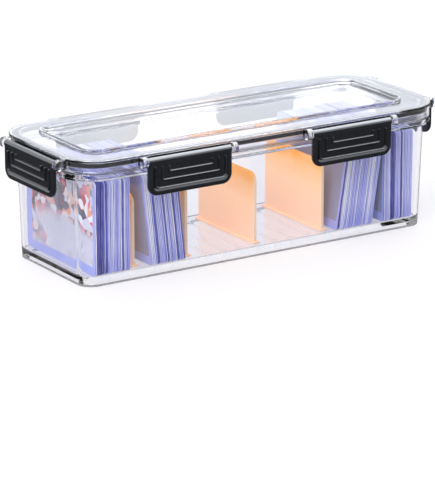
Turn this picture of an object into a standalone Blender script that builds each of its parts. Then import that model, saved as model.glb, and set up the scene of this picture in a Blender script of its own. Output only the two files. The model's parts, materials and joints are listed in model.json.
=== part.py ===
"""Clear stackable storage box for sleeved and graded cards.

A thick-walled clear tub is closed by a clear lid. Six black latches swing on lugs that are moulded
into the lid's edge, and a silicone gasket seals the lid against the tub's lip. Four dividers stand
in shallow grooves across the floor, with stacks of sleeved cards between them.

X runs along the box, Y across it with the front at -Y, and Z up. The origin is the middle of the
footprint, on the surface that the box stands on. All lengths are in metres, all angles in degrees.
"""
import math

import bmesh
import bpy
from mathutils import Matrix, Vector

# Sleeved cards: rigid sleeves that stand on their long edge across the tub
SLEEVE_LENGTH = 0.1016
SLEEVE_HEIGHT = 0.0762
SLEEVE_THICKNESS = 0.0026
SLEEVE_PITCH = 0.0030
SLEEVE_CORNER = 0.0020
SLEEVE_SIDE_GAP = 0.0007
SLEEVE_HEADROOM = 0.0048
STACK_SLEEVES = (11, 11, 12, 10)
LEFT_LEAN = 6.5
RIGHT_LEAN = 8.0

# Lid
LID_LENGTH = 0.350
LID_CORNER = 0.031
LID_PLATE = 0.0024
LID_EDGE_ROUND = 0.0008
SKIRT_INSET = 0.0006
SKIRT_WALL = 0.0018
PLUG_WALL = 0.0020
PLUG_CLEARANCE = 0.0010
RIDGE_INSET = 0.0220
RIDGE_WIDTH = 0.0028
RIDGE_RISE = 0.0022
RIDGE_ROUND = 0.0005
RIDGE_CORNER = 0.014
PANEL_DROP = 0.0035
PANEL_SLOPE = 0.0052
SLOPE_BOW_SHARE = 0.67

# Tub: insets are measured inwards from the lid's outline
RIM_INSET = 0.0004
RIM_BEAD = 0.0018
RIM_LEDGE = 0.0028
RIM_STEP = 0.0005
LIP_INSET = 0.0040
LIP_WALL = 0.0030
LIP_HEIGHT = 0.0053
LIP_ROUND = 0.0005
RIM_OVERHANG = 0.0083
TUB_WALL = 0.0030
WALL_DRAFT = 0.0032
WALL_TOP_CORNER = 0.016
FOOT_CORNER = 0.013
FOOT_RING = 0.0090
FOOT_RECESS = 0.0030
FOOT_EDGE = 0.0010
FLOOR_TOP = 0.0073
FLOOR_FILLET = 0.0008

# Gasket in the channel between the lid's skirt and its plug
GASKET_WIDTH = 0.0044
GASKET_HEIGHT = 0.0038
GASKET_ROUND = 0.0006

# Latches: the same moulding six times, on an axis outside the lid's edge
LATCH_WIDTH = 0.0774
LATCH_DROP = 0.0277
LATCH_PLATE = 0.0034
LATCH_CORNER = 0.0085
LATCH_BEVEL = 0.0010
LATCH_CROWN_WIDTH = 0.0030
LATCH_CROWN_DROP = 0.0004
LATCH_BORDER = 0.0050
LATCH_SINK = 0.0006
LATCH_AXIS_OUT = 0.0042
LATCH_AXIS_DROP = 0.0055
LATCH_SPREAD = 0.0774
BARREL_RADIUS = 0.0031
BARREL_BORE = 0.0018
BORE_DEPTH = 0.0036
HOOK_WIDTH = 0.050
HOOK_HEIGHT = 0.0034
LINE_COUNT = 3
LINE_MARGIN = 0.0056
LINE_PITCH = 0.0063
LINE_WIDTH = 0.0015
LINE_RISE = 0.0005
LINE_ROUND = 0.0008
LINE_HEAD = 0.0036

# Lugs of the lid that carry the latches
LUG_RADIUS = 0.0044
LUG_WIDTH = 0.0050
LUG_PIN_RADIUS = 0.0015
LUG_PIN_LENGTH = 0.0030
LUG_ROOT_HEIGHT = 0.0068

# Dividers, and the grooves in the floor that their feet stand in
GROOVE_PITCH = 0.0165
GROOVE_DEPTH = 0.0006
GROOVE_END_GAP = 0.0007
DIVIDER_WIDTH = 0.0830
DIVIDER_HEIGHT = 0.0592
DIVIDER_THICKNESS = 0.0030
DIVIDER_CORNER = 0.0080
DIVIDER_FOOT_LENGTH = 0.0866
DIVIDER_FOOT_WIDTH = 0.0072
DIVIDER_FOOT_HEIGHT = 0.0016
GROOVE_SHIFT = 0.0030

# Clearances
FIT_GAP = 0.0003
RUN_GAP = 0.0004
STACK_GAP = 0.0008
CUT_OVERRUN = 0.0010

# Facets
CORNER_STEPS = 7
FILLET_STEPS = 2
ROUND_SIDES = 20
LUG_SIDES = 16
CREASE_ANGLE = 35

COLLECTION_NAME = "graded_card_storage_box"

CLEAR = dict(color=(0.86, 0.88, 0.93), roughness=0.05, transmission=1.0)
BLACK_PLASTIC = dict(color=(0.014, 0.015, 0.018), roughness=0.38, transmission=0.0)
BLACK_SILICONE = dict(color=(0.006, 0.007, 0.010), roughness=0.60, transmission=0.0)
PEACH_PLASTIC = dict(color=(0.93, 0.56, 0.34), roughness=0.35, transmission=0.0)
LAVENDER_SLEEVE = dict(color=(0.30, 0.33, 0.70), roughness=0.30, transmission=0.0)


def clear_scene():
    """Remove every object, mesh, curve and collection of the open file."""
    for obj in list(bpy.data.objects):
        bpy.data.objects.remove(obj, do_unlink=True)
    for mesh in list(bpy.data.meshes):
        bpy.data.meshes.remove(mesh)
    for group in list(bpy.data.collections):
        bpy.data.collections.remove(group)


def new_collection(name):
    """Collection linked to the scene."""
    group = bpy.data.collections.new(name)
    bpy.context.scene.collection.children.link(group)
    return group


def new_material(name, color, roughness, transmission):
    """Principled material of one finish."""
    material = bpy.data.materials.new(name)
    material.use_nodes = True
    shader = material.node_tree.nodes["Principled BSDF"]
    shader.inputs["Base Color"].default_value = (*color, 1.0)
    shader.inputs["Roughness"].default_value = roughness
    shader.inputs["Metallic"].default_value = 0.0
    shader.inputs["Transmission Weight"].default_value = transmission
    return material


def new_object(name, mesh, group, finish=None):
    """Object in a collection, with a material of its own."""
    obj = bpy.data.objects.new(name, mesh)
    group.objects.link(obj)
    if finish is not None:
        obj.data.materials.append(new_material(name + "_finish", **finish))
    return obj


def rounded_rectangle(length, width, corner):
    """Points of a rounded rectangle about the origin, anticlockwise."""
    corner = min(corner, length / 2, width / 2)
    points = []
    for quarter in range(4):
        across = 1 if quarter in (0, 3) else -1
        along = 1 if quarter in (0, 1) else -1
        centre = Vector((across * (length / 2 - corner), along * (width / 2 - corner)))
        for step in range(CORNER_STEPS + 1):
            angle = math.pi / 2 * (quarter + step / CORNER_STEPS)
            points.append(centre + corner * Vector((math.cos(angle), math.sin(angle))))
    return points


def inset_ring(inset, height, corner=None):
    """Ring at a distance inside the lid's outline; the corner is concentric unless one is given."""
    if corner is None:
        corner = max(LID_CORNER - inset, 0)
    flat = rounded_rectangle(LID_LENGTH - 2 * inset, LID_WIDTH - 2 * inset, corner)
    return [Vector((point.x, point.y, height)) for point in flat]


def loft(name, rings, closed=False):
    """Skin over rings of equal point count: capped at both ends, or closed into a hoop."""
    shape = bmesh.new()
    rows = [[shape.verts.new(point) for point in ring] for ring in rings]
    pairs = list(zip(rows, rows[1:]))
    if closed:
        pairs.append((rows[-1], rows[0]))
    for low, high in pairs:
        for index, vertex in enumerate(low):
            after = (index + 1) % len(low)
            shape.faces.new((vertex, low[after], high[after], high[index]))
    if not closed:
        shape.faces.new(list(reversed(rows[0])))
        shape.faces.new(rows[-1])
    bmesh.ops.recalc_face_normals(shape, faces=shape.faces)
    mesh = bpy.data.meshes.new(name)
    shape.to_mesh(mesh)
    shape.free()
    return mesh


def box_mesh(name, low, high):
    """Box between two corners."""
    low, high = Vector(low), Vector(high)
    shape = bmesh.new()
    bmesh.ops.create_cube(shape, size=1)
    bmesh.ops.scale(shape, vec=high - low, verts=shape.verts)
    bmesh.ops.translate(shape, vec=(low + high) / 2, verts=shape.verts)
    mesh = bpy.data.meshes.new(name)
    shape.to_mesh(mesh)
    shape.free()
    return mesh


def cylinder_mesh(name, radius, length, centre, sides):
    """Solid cylinder along X."""
    shape = bmesh.new()
    bmesh.ops.create_cone(
        shape, cap_ends=True, segments=sides, radius1=radius, radius2=radius, depth=length
    )
    bmesh.ops.rotate(shape, matrix=Matrix.Rotation(math.pi / 2, 3, "Y"), verts=shape.verts)
    bmesh.ops.translate(shape, vec=centre, verts=shape.verts)
    mesh = bpy.data.meshes.new(name)
    shape.to_mesh(mesh)
    shape.free()
    return mesh


def apply_booleans(obj, tools, operation):
    """Join or cut an object with other meshes, and keep the evaluated result as its mesh."""
    for tool in tools:
        modifier = obj.modifiers.new("join_or_cut", "BOOLEAN")
        modifier.operation = operation
        modifier.solver = "EXACT"
        modifier.object = tool
    bpy.context.view_layer.update()
    evaluated = obj.evaluated_get(bpy.context.evaluated_depsgraph_get())
    result = bpy.data.meshes.new_from_object(evaluated)
    obj.modifiers.clear()
    obj.data = result
    for tool in tools:
        bpy.data.objects.remove(tool, do_unlink=True)


def as_tool(mesh, group, matrix=None):
    """Cutter or joined shape, hidden from renders."""
    tool = bpy.data.objects.new(mesh.name, mesh)
    group.objects.link(tool)
    tool.hide_render = True
    tool.display_type = "WIRE"
    if matrix is not None:
        tool.matrix_world = matrix
    return tool


def shade(obj):
    """Smooth shading with creases kept sharp."""
    obj.data.shade_smooth()
    obj.data.set_sharp_from_angle(angle=math.radians(CREASE_ANGLE))


# Places that several pieces share; insets are measured inwards from the lid's outline
RIM_BOTTOM = FLOOR_TOP + SLEEVE_HEIGHT + SLEEVE_HEADROOM
LEDGE_TOP = RIM_BOTTOM + RIM_BEAD + RIM_LEDGE
LIP_TOP = LEDGE_TOP + LIP_HEIGHT
FLANGE_UNDER = LIP_TOP + FIT_GAP + GASKET_HEIGHT + FIT_GAP
LID_TOP = FLANGE_UNDER + LID_PLATE
SKIRT_BOTTOM = LEDGE_TOP + FIT_GAP
CHANNEL_OUT = SKIRT_INSET + SKIRT_WALL
GASKET_INSET = CHANNEL_OUT + FIT_GAP
PLUG_INSET = GASKET_INSET + GASKET_WIDTH + FIT_GAP
FOOT_INSET = RIM_OVERHANG + WALL_DRAFT
INNER_FOOT_INSET = FOOT_INSET + TUB_WALL
LID_WIDTH = SLEEVE_LENGTH + 2 * (SLEEVE_SIDE_GAP + INNER_FOOT_INSET)
INNER_HALF_LENGTH = LID_LENGTH / 2 - INNER_FOOT_INSET
STACK_BASE = FLOOR_TOP + FIT_GAP
AXIS_HEIGHT = LID_TOP - LATCH_AXIS_DROP
LATCH_END_GAP = LATCH_WIDTH / 2 + RUN_GAP


def latch_places():
    """Name, point on the pivot axis, and turn about Z of each latch."""
    front = -LID_WIDTH / 2 - LATCH_AXIS_OUT
    left = -LID_LENGTH / 2 - LATCH_AXIS_OUT
    return (
        ("latch_front_left", Vector((-LATCH_SPREAD, front, AXIS_HEIGHT)), 0),
        ("latch_front_right", Vector((LATCH_SPREAD, front, AXIS_HEIGHT)), 0),
        ("latch_back_left", Vector((-LATCH_SPREAD, -front, AXIS_HEIGHT)), 180),
        ("latch_back_right", Vector((LATCH_SPREAD, -front, AXIS_HEIGHT)), 180),
        ("latch_left_end", Vector((left, 0, AXIS_HEIGHT)), -90),
        ("latch_right_end", Vector((-left, 0, AXIS_HEIGHT)), 90),
    )


def groove_centres():
    """X of each divider groove that fits on the floor."""
    reach = INNER_HALF_LENGTH - FLOOR_FILLET - DIVIDER_FOOT_WIDTH
    count = int(reach / GROOVE_PITCH)
    places = [GROOVE_SHIFT + number * GROOVE_PITCH for number in range(-count, count + 1)]
    return [place for place in places if abs(place) < reach]


def make_base_bin(group, tools):
    """Tub: foot ring, drafted walls, stepped rim, lip, and grooves across the floor."""
    inner_top = RIM_OVERHANG + TUB_WALL
    lip_in = LIP_INSET + LIP_WALL
    inner_corner = max(FOOT_CORNER - TUB_WALL, FLOOR_FILLET)
    rings = [
        inset_ring(FOOT_INSET + FOOT_RING, FOOT_RECESS, FOOT_CORNER / 2),
        inset_ring(FOOT_INSET + FOOT_RING, 0, FOOT_CORNER / 2),
        inset_ring(FOOT_INSET + FOOT_EDGE, 0, FOOT_CORNER - FOOT_EDGE),
        inset_ring(FOOT_INSET, FOOT_EDGE, FOOT_CORNER),
        inset_ring(RIM_OVERHANG, RIM_BOTTOM, WALL_TOP_CORNER),
        inset_ring(RIM_INSET, RIM_BOTTOM),
        inset_ring(RIM_INSET, RIM_BOTTOM + RIM_BEAD),
        inset_ring(RIM_INSET + RIM_STEP, RIM_BOTTOM + RIM_BEAD),
        inset_ring(RIM_INSET + RIM_STEP, LEDGE_TOP),
        inset_ring(LIP_INSET, LEDGE_TOP),
        inset_ring(LIP_INSET, LIP_TOP - LIP_ROUND),
        inset_ring(LIP_INSET + LIP_ROUND, LIP_TOP),
        inset_ring(lip_in - LIP_ROUND, LIP_TOP),
        inset_ring(lip_in, LIP_TOP - LIP_ROUND),
        inset_ring(lip_in, LEDGE_TOP),
        inset_ring(inner_top, LEDGE_TOP - RIM_STEP, WALL_TOP_CORNER - TUB_WALL),
    ]
    for step in range(FILLET_STEPS + 1):
        angle = math.pi / 2 * step / FILLET_STEPS
        inset = INNER_FOOT_INSET + FLOOR_FILLET * (1 - math.cos(angle))
        height = FLOOR_TOP + FLOOR_FILLET * (1 - math.sin(angle))
        corner = inner_corner - FLOOR_FILLET * (1 - math.cos(angle))
        rings.append(inset_ring(inset, height, corner))
    obj = new_object("base_bin", loft("base_bin", rings), group, CLEAR)
    half = DIVIDER_FOOT_WIDTH / 2 + FIT_GAP
    groove_half_length = DIVIDER_FOOT_LENGTH / 2 + GROOVE_END_GAP
    grooves = []
    for number, centre in enumerate(groove_centres()):
        low = (centre - half, -groove_half_length, FLOOR_TOP - GROOVE_DEPTH)
        high = (centre + half, groove_half_length, FLOOR_TOP + CUT_OVERRUN)
        grooves.append(as_tool(box_mesh(f"groove_{number}", low, high), tools))
    apply_booleans(obj, grooves, "DIFFERENCE")
    shade(obj)
    return obj


def lug_root_reach(offset_in, offset_out, straight):
    """How far in from the lid's edge a lug's root may reach and still end inside the skirt."""
    def bow(offset):
        past = min(max(offset - straight, 0), LID_CORNER)
        return LID_CORNER - math.sqrt(LID_CORNER ** 2 - past ** 2)
    skirt_out = SKIRT_INSET + bow(offset_out)
    skirt_in = CHANNEL_OUT + bow(offset_in)
    return (skirt_out + skirt_in) / 2


def make_lid(group, tools):
    """Lid: recessed panel inside a stacking ridge, flange, skirt, plug, and the latch lugs."""
    slope_in = RIDGE_INSET + RIDGE_WIDTH + PANEL_SLOPE
    panel_top = LID_TOP - PANEL_DROP
    ridge_top = LID_TOP + RIDGE_RISE
    plug_bottom = LEDGE_TOP + PLUG_CLEARANCE
    plug_in = PLUG_INSET + PLUG_WALL
    panel_corner = max(RIDGE_CORNER - RIDGE_WIDTH - PANEL_SLOPE, RIDGE_ROUND)
    ridge_inner_corner = RIDGE_CORNER - RIDGE_WIDTH
    slope_middle = RIDGE_INSET + RIDGE_WIDTH + PANEL_SLOPE / 2
    middle_height = LID_TOP - PANEL_DROP * SLOPE_BOW_SHARE
    rings = [
        inset_ring(slope_in, panel_top - LID_PLATE, panel_corner),
        inset_ring(RIDGE_INSET + RIDGE_WIDTH, FLANGE_UNDER, ridge_inner_corner),
        inset_ring(plug_in, FLANGE_UNDER),
        inset_ring(plug_in, plug_bottom),
        inset_ring(PLUG_INSET, plug_bottom),
        inset_ring(PLUG_INSET, FLANGE_UNDER),
        inset_ring(CHANNEL_OUT, FLANGE_UNDER),
        inset_ring(CHANNEL_OUT, SKIRT_BOTTOM),
        inset_ring(SKIRT_INSET, SKIRT_BOTTOM),
        inset_ring(SKIRT_INSET, FLANGE_UNDER),
        inset_ring(0, FLANGE_UNDER + LID_EDGE_ROUND / 2),
        inset_ring(0, LID_TOP - LID_EDGE_ROUND),
        inset_ring(LID_EDGE_ROUND, LID_TOP),
        inset_ring(RIDGE_INSET, LID_TOP, RIDGE_CORNER),
        inset_ring(RIDGE_INSET + RIDGE_ROUND, ridge_top, RIDGE_CORNER - RIDGE_ROUND),
        inset_ring(RIDGE_INSET + RIDGE_WIDTH - RIDGE_ROUND, ridge_top, ridge_inner_corner + RIDGE_ROUND),
        inset_ring(slope_middle, middle_height, (ridge_inner_corner + panel_corner) / 2),
        inset_ring(slope_in, panel_top, panel_corner),
    ]
    obj = new_object("lid", loft("lid", rings), group, CLEAR)
    joined = []
    for name, place, turn in latch_places():
        matrix = Matrix.Translation(place) @ Matrix.Rotation(math.radians(turn), 4, "Z")
        on_long_side = turn % 180 == 0
        straight = (LID_LENGTH if on_long_side else LID_WIDTH) / 2 - LID_CORNER
        centre_offset = abs(place.x) if on_long_side else 0
        for side in (-1, 1):
            near = LATCH_END_GAP
            far = LATCH_END_GAP + LUG_WIDTH
            reach = lug_root_reach(centre_offset + near, centre_offset + far, straight)
            middle = side * (near + far) / 2
            lug = cylinder_mesh("lug", LUG_RADIUS, LUG_WIDTH, (middle, 0, 0), LUG_SIDES)
            joined.append(as_tool(lug, tools, matrix))
            ends = sorted((side * near, side * far))
            low = (ends[0], 0, -LUG_ROOT_HEIGHT / 2)
            high = (ends[1], LATCH_AXIS_OUT + reach, LUG_ROOT_HEIGHT / 2)
            joined.append(as_tool(box_mesh("lug_root", low, high), tools, matrix))
            pin_length = LUG_PIN_LENGTH + LUG_WIDTH / 2
            pin_centre = (side * (near - LUG_PIN_LENGTH + pin_length / 2), 0, 0)
            pin = cylinder_mesh("lug_pin", LUG_PIN_RADIUS, pin_length, pin_centre, LUG_SIDES)
            joined.append(as_tool(pin, tools, matrix))
    apply_booleans(obj, joined, "UNION")
    shade(obj)
    return obj


def make_gasket(group):
    """Silicone seal: a soft rectangular section run round the lid's channel."""
    low = LIP_TOP + FIT_GAP
    high = low + GASKET_HEIGHT
    out = GASKET_INSET
    into = GASKET_INSET + GASKET_WIDTH
    section = (
        (out + GASKET_ROUND, low),
        (into - GASKET_ROUND, low),
        (into, low + GASKET_ROUND),
        (into, high - GASKET_ROUND),
        (into - GASKET_ROUND, high),
        (out + GASKET_ROUND, high),
        (out, high - GASKET_ROUND),
        (out, low + GASKET_ROUND),
    )
    rings = [inset_ring(inset, height) for inset, height in section]
    obj = new_object("lid_gasket", loft("lid_gasket", rings, closed=True), group, BLACK_SILICONE)
    shade(obj)
    return obj


def latch_outline(inset, depth):
    """Ring of a latch face: square at the barrel, rounded at its two lower corners."""
    half = LATCH_WIDTH / 2 - inset
    bottom = -LATCH_DROP + inset
    corner = max(LATCH_CORNER - inset, LATCH_BEVEL)
    points = [Vector((half, depth, -inset / 2)), Vector((-half, depth, -inset / 2))]
    for side in (-1, 1):
        for step in range(CORNER_STEPS + 1):
            angle = math.pi / 2 * step / CORNER_STEPS
            swing = angle if side < 0 else math.pi / 2 - angle
            x = side * (half - corner + corner * math.cos(swing))
            z = bottom + corner - corner * math.sin(swing)
            points.append(Vector((x, depth, z)))
    return points


def latch_line(name, number, depth):
    """One raised U on the latch's face, as a flat outline pulled out of the face."""
    margin = LINE_MARGIN + LINE_PITCH * number
    outer_corner = max(LATCH_CORNER - margin, LINE_ROUND + LINE_WIDTH)
    top = -LINE_HEAD
    outline = []
    for inset, backwards in ((margin, False), (margin + LINE_WIDTH, True)):
        half = LATCH_WIDTH / 2 - inset
        bottom = -LATCH_DROP + inset
        corner = outer_corner - (inset - margin)
        arc = [Vector((-half, top))]
        for side in (-1, 1):
            for step in range(CORNER_STEPS + 1):
                angle = math.pi / 2 * step / CORNER_STEPS
                swing = angle if side < 0 else math.pi / 2 - angle
                x = side * (half - corner + corner * math.cos(swing))
                arc.append(Vector((x, bottom + corner - corner * math.sin(swing))))
        arc.append(Vector((half, top)))
        outline.extend(reversed(arc) if backwards else arc)
    rings = [
        [Vector((point.x, depth + LATCH_SINK, point.y)) for point in outline],
        [Vector((point.x, depth - LINE_RISE, point.y)) for point in outline],
    ]
    return loft(name, rings)


def make_latch_mesh(group, tools):
    """Latch: barrel, bordered plate with three raised lines, bores for the lug pins, and hook rib."""
    face = -BARREL_RADIUS
    back = face + LATCH_PLATE
    rings = [
        latch_outline(LATCH_BEVEL / 2, back),
        latch_outline(0, back - LATCH_BEVEL / 2),
        latch_outline(0, face + LATCH_CROWN_DROP + LATCH_BEVEL),
        latch_outline(LATCH_BEVEL, face + LATCH_CROWN_DROP),
        latch_outline(LATCH_CROWN_WIDTH, face),
        latch_outline(LATCH_BORDER - LATCH_SINK, face),
        latch_outline(LATCH_BORDER, face + LATCH_SINK),
    ]
    plate = new_object("latch_plate", loft("latch_plate", rings), group)
    barrel = cylinder_mesh("barrel", BARREL_RADIUS, LATCH_WIDTH, (0, 0, 0), ROUND_SIDES)
    hook_high = RIM_BOTTOM - FIT_GAP - AXIS_HEIGHT
    hook_in = LATCH_AXIS_OUT + RIM_INSET - FIT_GAP
    hook = box_mesh(
        "hook",
        (-HOOK_WIDTH / 2, back - LATCH_PLATE / 2, hook_high - HOOK_HEIGHT),
        (HOOK_WIDTH / 2, hook_in, hook_high),
    )
    joined = [as_tool(barrel, tools), as_tool(hook, tools)]
    for number in range(LINE_COUNT):
        joined.append(as_tool(latch_line(f"line_{number}", number, face + LATCH_SINK), tools))
    apply_booleans(plate, joined, "UNION")
    bores = []
    for side in (-1, 1):
        middle = side * (LATCH_WIDTH / 2 - BORE_DEPTH / 2 + CUT_OVERRUN / 2)
        bore = cylinder_mesh("bore", BARREL_BORE, BORE_DEPTH + CUT_OVERRUN, (middle, 0, 0), LUG_SIDES)
        bores.append(as_tool(bore, tools))
    apply_booleans(plate, bores, "DIFFERENCE")
    shade(plate)
    mesh = plate.data
    bpy.data.objects.remove(plate, do_unlink=True)
    return mesh


def make_latches(group, tools):
    """Six latches that share one mesh, each with its origin on its pivot axis."""
    mesh = make_latch_mesh(group, tools)
    mesh.name = "latch"
    mesh.materials.clear()
    mesh.materials.append(new_material("latch_finish", **BLACK_PLASTIC))
    for name, place, turn in latch_places():
        obj = new_object(name, mesh, group)
        obj.location = place
        obj.rotation_euler.z = math.radians(turn)


def corner_reach():
    """How far the tub's rounded inner corner keeps a sleeve's edge from the end wall."""
    corner = max(FOOT_CORNER - TUB_WALL, FLOOR_FILLET)
    side = corner - min(SLEEVE_SIDE_GAP, corner)
    return corner - math.sqrt(corner ** 2 - side ** 2)


def arrange():
    """Left foot of each stack, and X of each divider in the groove next to the stack beside it."""
    left_lean, right_lean = math.radians(LEFT_LEAN), math.radians(RIGHT_LEAN)
    wall = INNER_HALF_LENGTH - corner_reach() - STACK_GAP
    widths = [count * SLEEVE_PITCH for count in STACK_SLEEVES]
    foot_half = DIVIDER_FOOT_WIDTH / 2 + STACK_GAP
    left_room = SLEEVE_HEIGHT * math.sin(left_lean) + STACK_GAP
    right_room = SLEEVE_HEIGHT * math.sin(right_lean) + FIT_GAP

    first_start = -wall
    first = math.ceil((first_start + widths[0] + foot_half - GROOVE_SHIFT) / GROOVE_PITCH)
    first_x = GROOVE_SHIFT + first * GROOVE_PITCH
    second_start = first_x + DIVIDER_THICKNESS / 2 + left_room
    second_end = second_start + widths[1] / math.cos(left_lean)
    second = math.ceil((second_end + foot_half - GROOVE_SHIFT) / GROOVE_PITCH)
    fourth_start = wall - widths[3]
    third_width = (widths[2] - SLEEVE_PITCH) / math.cos(right_lean) + SLEEVE_THICKNESS * math.cos(right_lean)
    third_start = fourth_start - right_room - third_width
    fourth = math.floor((third_start - foot_half - GROOVE_SHIFT) / GROOVE_PITCH)
    grooves = (first, second, (second + fourth) // 2, fourth)
    dividers = [GROOVE_SHIFT + groove * GROOVE_PITCH for groove in grooves]
    return (first_start, second_start, third_start, fourth_start), dividers


def make_dividers(group, tools):
    """Dividers: a panel with rounded top corners on a wider foot."""
    base = FLOOR_TOP - GROOVE_DEPTH + FIT_GAP
    half = DIVIDER_WIDTH / 2
    outline = [Vector((-half, DIVIDER_FOOT_HEIGHT / 2)), Vector((half, DIVIDER_FOOT_HEIGHT / 2))]
    for side in (1, -1):
        for step in range(CORNER_STEPS + 1):
            angle = math.pi / 2 * step / CORNER_STEPS
            swing = angle if side > 0 else math.pi / 2 - angle
            y = side * (half - DIVIDER_CORNER + DIVIDER_CORNER * math.cos(swing))
            z = DIVIDER_HEIGHT - DIVIDER_CORNER + DIVIDER_CORNER * math.sin(swing)
            outline.append(Vector((y, z)))
    for number, centre in enumerate(arrange()[1], 1):
        name = f"divider_{number}"
        rings = [
            [Vector((x, point.x, point.y)) for point in outline]
            for x in (-DIVIDER_THICKNESS / 2, DIVIDER_THICKNESS / 2)
        ]
        obj = new_object(name, loft(name, rings), group, PEACH_PLASTIC)
        obj.location = (centre, 0, base)
        foot = box_mesh(
            name + "_foot",
            (-DIVIDER_FOOT_WIDTH / 2, -DIVIDER_FOOT_LENGTH / 2, 0),
            (DIVIDER_FOOT_WIDTH / 2, DIVIDER_FOOT_LENGTH / 2, DIVIDER_FOOT_HEIGHT),
        )
        apply_booleans(obj, [as_tool(foot, tools, Matrix.Translation(obj.location))], "UNION")
        shade(obj)


def make_sleeve_mesh():
    """Rigid card sleeve standing on its long edge, from its lower left edge."""
    half = SLEEVE_LENGTH / 2
    low, high = SLEEVE_CORNER, SLEEVE_HEIGHT - SLEEVE_CORNER
    outline = (
        (half - SLEEVE_CORNER, 0),
        (half, low),
        (half, high),
        (half - SLEEVE_CORNER, SLEEVE_HEIGHT),
        (SLEEVE_CORNER - half, SLEEVE_HEIGHT),
        (-half, high),
        (-half, low),
        (SLEEVE_CORNER - half, 0),
    )
    rings = [[Vector((x, y, z)) for y, z in outline] for x in (0, SLEEVE_THICKNESS)]
    return loft("sleeve", rings)


def make_stacks(group):
    """Four stacks: upright at both ends, one leaning on divider 1, one leaning on the right stack."""
    mesh = make_sleeve_mesh()
    mesh.materials.append(new_material("sleeve_finish", **LAVENDER_SLEEVE))
    starts = arrange()[0]
    leans = (0, -math.radians(LEFT_LEAN), math.radians(RIGHT_LEAN), 0)
    for stack, (start, lean, count) in enumerate(zip(starts, leans, STACK_SLEEVES), 1):
        lift = SLEEVE_THICKNESS * math.sin(max(lean, 0))
        for number in range(count):
            obj = new_object(f"sleeved_card_{stack}_{number + 1:02d}", mesh, group)
            x = start + number * SLEEVE_PITCH / math.cos(lean)
            obj.location = (x, 0, STACK_BASE + lift)
            obj.rotation_euler.y = lean


def build():
    """Make the whole box."""
    clear_scene()
    group = new_collection(COLLECTION_NAME)
    tools = new_collection("cutters")
    make_base_bin(group, tools)
    make_lid(group, tools)
    make_gasket(group)
    make_latches(group, tools)
    make_dividers(group, tools)
    make_stacks(group)


build()
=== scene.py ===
"""Looks of the clear card storage box: finish and fine shape of each piece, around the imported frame."""
import json
import math
import random

import bmesh
import bpy
from mathutils import Matrix, Vector


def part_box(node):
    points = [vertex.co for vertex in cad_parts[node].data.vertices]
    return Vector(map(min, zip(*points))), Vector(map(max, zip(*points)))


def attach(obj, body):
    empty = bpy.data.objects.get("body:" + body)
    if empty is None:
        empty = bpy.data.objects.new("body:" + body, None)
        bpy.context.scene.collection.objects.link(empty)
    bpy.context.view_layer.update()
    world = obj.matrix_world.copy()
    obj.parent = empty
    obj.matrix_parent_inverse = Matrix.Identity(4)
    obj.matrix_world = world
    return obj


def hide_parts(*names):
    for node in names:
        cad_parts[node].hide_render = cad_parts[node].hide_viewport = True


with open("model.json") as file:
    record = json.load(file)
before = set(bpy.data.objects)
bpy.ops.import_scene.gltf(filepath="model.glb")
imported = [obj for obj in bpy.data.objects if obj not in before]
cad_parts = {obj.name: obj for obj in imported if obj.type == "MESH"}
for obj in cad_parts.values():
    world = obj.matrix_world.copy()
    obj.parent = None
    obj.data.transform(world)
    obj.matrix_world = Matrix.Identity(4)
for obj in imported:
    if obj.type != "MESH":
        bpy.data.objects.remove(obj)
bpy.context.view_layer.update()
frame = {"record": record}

# Tub: one thick moulding of clear, faintly lavender plastic. Its drafted walls stand on a foot ring,
# end in a stepped rim with a sealing lip, and its floor carries a row of shallow cross grooves.
# The moulding is polished and slightly wavy. Fine dark lines of painted shade are tinted into it just
# above the bead's top and the rim's underside, standing in for the darkness that its edges gather.
tub_low, tub_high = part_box("base_bin")
RIM_INSET = 0.0004
HALF_LENGTH = tub_high.x + RIM_INSET
HALF_WIDTH = tub_high.y + RIM_INSET
OUTLINE_CORNER = 0.031
CORNER_STEPS = 22
LIP_TOP = tub_high.z
LEDGE_TOP = LIP_TOP - 0.0053
RIM_BOTTOM = LEDGE_TOP - 0.0046
RIM_BEAD = 0.0018
RIM_STEP = 0.0005
LIP_INSET = 0.0040
LIP_WALL = 0.0030
WALL_TOP_INSET = 0.0083
FOOT_INSET = 0.0115
TUB_WALL = 0.0030
FOOT_RING = 0.0090
FOOT_RECESS = 0.0030
FLOOR_TOP = 0.0073
WALL_TOP_CORNER = 0.016
FOOT_CORNER = 0.013
FLOOR_FILLET = 0.0008
MOULD_EDGE = 0.0004
FINE_EDGE = 0.00025
EDGE_STEPS = 3
SMOOTH_ANGLE = 40
GROOVE_PITCH = 0.0165
GROOVE_SHIFT = 0.0030
GROOVE_DEPTH = 0.0006
GROOVE_HALF_WIDTH = 0.0039
GROOVE_HALF_LENGTH = 0.0440
GROOVE_SLOPE = 0.0030
GROOVES_EACH_WAY = 9
CLEAR_TINTS = ("#fdfdff", "#f6f7fe")
# Painted shade: colour and half height of the dark lines tinted into the clear plastic along its edges.
PAINTED_EDGE_SHADE = "#2a2c38"
PAINTED_EDGE_HALF = 0.00022
CLEAR_INDEX = 1.49
CLEAR_WAVE_SIZE = 26
CLEAR_WAVE_STRENGTH = 0.05
CLEAR_WAVE_HEIGHT = 0.0006
CLEAR_WAVE_STRETCH = (0.5, 0.5, 1)
CLEAR_FILM_SIZE = 180
CLEAR_FILM_DETAIL = 3.0
CLEAR_FILM_SHARE = 0.5
AIR_TINT = "#f6f6fb"
TUB_ROUGHNESS = 0.015
# Painted shade lines of the tub: height above the bead's top and the rim's underside, and their strength.
BEAD_PAINTED_SHADE = (0.0003, 0.8)
RIM_PAINTED_SHADE = (0.0004, 0.35)
EDGE_REACH_SHARE = 0.45


def colour(code):
    """Linear colour of a written shade."""
    levels = [int(code[place:place + 2], 16) / 255 for place in (1, 3, 5)]
    return [level / 12.92 if level < 0.04045 else ((level + 0.055) / 1.055) ** 2.4 for level in levels] + [1]


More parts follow.
